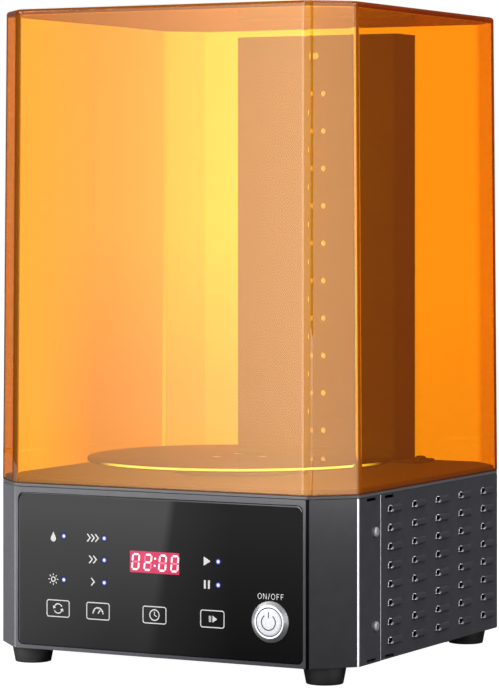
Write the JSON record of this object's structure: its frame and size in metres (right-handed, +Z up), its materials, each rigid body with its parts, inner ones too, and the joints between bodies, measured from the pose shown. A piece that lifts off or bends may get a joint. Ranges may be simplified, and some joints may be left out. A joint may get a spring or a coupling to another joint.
{
  "type": "resin light curing unit",
  "caption": "Octagonal light curing unit for dental resin prints: metal base with touch panel, light tower, turntable and a lift-off amber cover.",
  "frame": {"origin": "on the table, under the middle of the base", "axes": "+Z up, -Y the side with the touch panel, +X to the right as seen from the front"},
  "size_m": [0.2282, 0.2296, 0.3665],
  "materials": {
    "painted_shell": "dark charcoal powder coat, satin",
    "shell_screw": "black oxide",
    "base_plate": "dark powder coat",
    "small_screws": "zinc plated",
    "rubber_foot": "matt black rubber",
    "deck": "satin light grey moulding",
    "panel_glass": "back-printed black glass",
    "panel_carrier": "black moulding",
    "circuit_board": "green solder mask",
    "display": "lit seven segment module",
    "indicator": "clear blue-white lamp",
    "touch_pad": "conductive foam",
    "button_metal": "nickel plated brass",
    "button_ring": "translucent light ring",
    "button_cap": "satin metal cap",
    "spring_wire": "bright spring steel",
    "black_nylon": "black nylon",
    "brass_standoff": "turned brass",
    "components": "mixed board components",
    "nickel_nut": "nickel plated",
    "bracket_metal": "zinc plated sheet",
    "motor_metal": "zinc plated case",
    "shaft_steel": "ground steel",
    "white_nylon": "natural nylon",
    "magnet": "nickel plated magnet",
    "turntable_top": "clear acrylic, polished",
    "tower_screw": "steel",
    "tower_plastic": "dark grey moulding",
    "led_board": "white solder mask",
    "uv_lamp": "clear lens on white body",
    "heat_sink": "extruded aluminium",
    "grommet": "black rubber",
    "ribbon": "grey ribbon cable",
    "lead": "black twin flex",
    "amber_acrylic": "clear amber acrylic, polished"
  },
  "bodies": {
    "machine": {"front_shell": "painted_shell", "rear_shell": "painted_shell", "shell_screws": "shell_screw", "base_plate": "base_plate", "base_screws": "small_screws", "rubber_feet": "rubber_foot", "foot_screws": "small_screws", "foot_nuts": "small_screws", "deck_plate": "deck", "deck_screws": "small_screws", "touch_glass": "panel_glass", "panel_carrier": "panel_carrier", "touch_board": "circuit_board", "board_screws": "small_screws", "display_module": "display", "indicator_lamps": "indicator", "touch_pads": "touch_pad", "button_housing": "button_metal", "button_ring": "button_ring", "button_spring": "spring_wire", "button_nut": "button_metal", "button_contacts": "black_nylon", "main_board": "circuit_board", "board_standoffs": "brass_standoff", "main_board_screws": "small_screws", "board_components": "components", "dc_inlet": "black_nylon", "inlet_pin": "nickel_nut", "inlet_tabs": "nickel_nut", "inlet_nut": "nickel_nut", "motor_bracket": "bracket_metal", "bracket_screws": "small_screws", "drive_motor": "motor_metal", "motor_screws": "small_screws", "turntable_base": "black_nylon", "thrust_washer": "white_nylon", "tower_foot": "tower_plastic", "tower_screws": "tower_screw", "tower_housing": "tower_plastic", "tower_back": "tower_plastic", "tower_back_screws": "small_screws", "led_board": "led_board", "uv_lamps": "uv_lamp", "heat_sink": "heat_sink", "lead_grommet": "grommet", "panel_ribbon": "ribbon", "motor_lead": "lead", "lamp_lead": "lead", "inlet_lead": "lead"},
    "cover": {"cover": "amber_acrylic"},
    "turntable": {"turntable_hub": "black_nylon", "hub_magnets": "magnet", "turntable_disc": "turntable_top", "disc_screws": "small_screws"},
    "drive": {"drive_shaft": "shaft_steel", "magnet_carrier": "white_nylon", "drive_magnets": "magnet", "grub_screw": "small_screws"},
    "power_button": {"button_cap": "button_cap"}
  },
  "joints": [
    {"name": "cover_lift", "type": "slide", "parent": "machine", "child": "cover", "axis": [0, 0, 1], "range_m": [0, 0.3]},
    {"name": "turntable_spin", "type": "hinge", "parent": "machine", "child": "turntable", "pos_m": [0, -0.017, 0.1], "axis": [0, 0, 1], "continuous": true},
    {"name": "drive_spin", "type": "hinge", "parent": "machine", "child": "drive", "pos_m": [0, -0.017, 0.08], "axis": [0, 0, 1], "continuous": true},
    {"name": "power_button_press", "type": "slide", "parent": "machine", "child": "power_button", "axis": [0, 1, 0], "range_m": [0, 0.0015], "stiffness_N_per_m": 500, "springref_m": -0.003, "deforming": ["button_spring"]}
  ],
  "couplings": [
    {"joint": "drive_spin", "follows": "turntable_spin", "ratio": 1}
  ]
}
